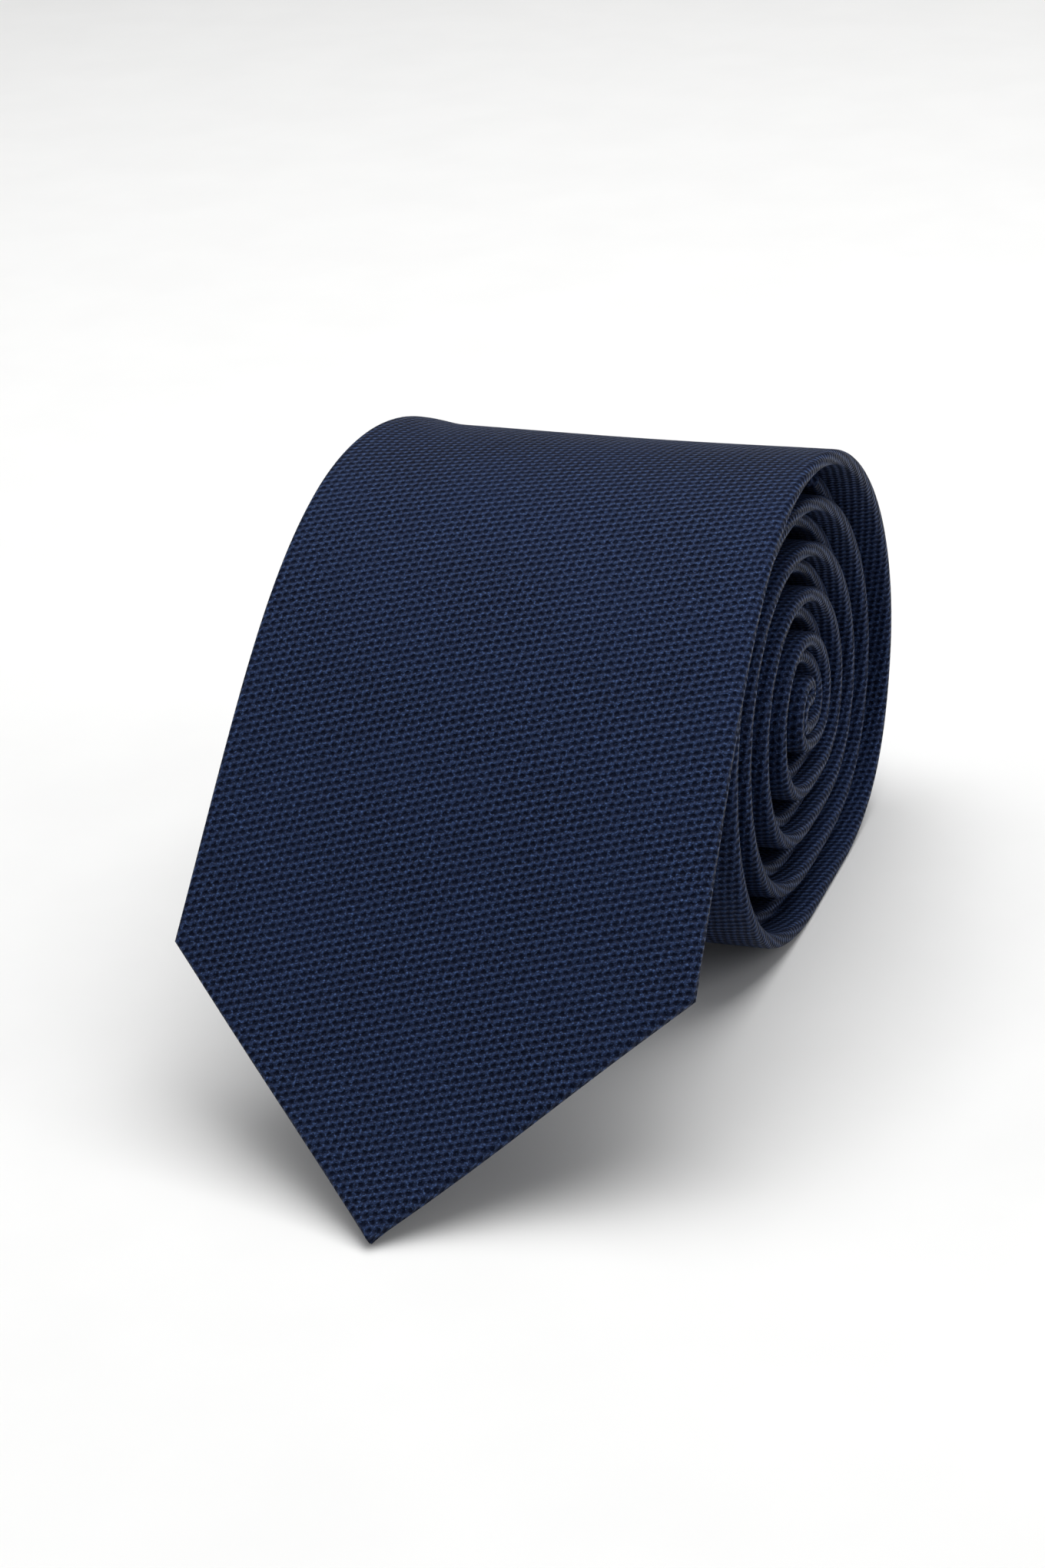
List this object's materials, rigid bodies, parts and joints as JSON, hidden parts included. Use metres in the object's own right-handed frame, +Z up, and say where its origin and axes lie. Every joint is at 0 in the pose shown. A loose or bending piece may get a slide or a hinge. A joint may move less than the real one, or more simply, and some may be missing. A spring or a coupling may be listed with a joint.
{
  "type": "necktie",
  "caption": "Navy woven necktie folded in half and rolled up, its wide pointed blade hanging from the crest of the roll to the table.",
  "frame": {"origin": "centre of the bounding box's bottom face, on the table the roll stands on", "axes": "+X along the roll's axis towards its right end, the hanging blade faces -Y, +Z up"},
  "size_m": [0.076, 0.1509, 0.0743],
  "materials": {
    "tie_cloth": "navy blue natte weave, soft satin sheen",
    "interlining_wool": "brushed natural wool, matt",
    "tipping_satin": "smooth navy lining satin",
    "label_satin": "blank woven satin label",
    "thread": "navy twisted sewing thread"
  },
  "bodies": {
    "roll": {"blade_shell": "tie_cloth", "neck_shell": "tie_cloth", "tail_shell": "tie_cloth", "blade_interlining": "interlining_wool", "tail_interlining": "interlining_wool", "blade_tipping": "tipping_satin", "tail_tipping": "tipping_satin", "slip_stitch_thread": "thread", "tail_bar_tack": "thread", "tail_hem_stitches": "thread", "blade_neck_seam_thread": "thread", "neck_tail_seam_thread": "thread", "interlining_join_stitches": "thread", "slack_thread_loop": "thread", "keeper_loop": "tie_cloth", "keeper_loop_stitches": "thread", "woven_label": "label_satin", "woven_label_stitches": "thread", "care_label": "label_satin", "care_label_stitches": "thread"},
    "blade_middle": {"blade_shell_middle": "tie_cloth", "blade_interlining_middle": "interlining_wool", "blade_tipping_middle": "tipping_satin", "blade_bar_tack": "thread"},
    "blade_point": {"blade_shell_point": "tie_cloth", "blade_interlining_point": "interlining_wool", "blade_tipping_point": "tipping_satin", "blade_hem_stitches": "thread"}
  },
  "joints": [
    {"name": "blade_lift", "type": "hinge", "parent": "roll", "child": "blade_middle", "pos_m": [0, 0.00921, 0.07246], "axis": [-1, 0, 0], "range_deg": [0, 120]},
    {"name": "tip_lift", "type": "hinge", "parent": "blade_middle", "child": "blade_point", "pos_m": [0, -0.03358, 0.04291], "axis": [-1, 0, 0], "range_deg": [0, 75]}
  ]
}
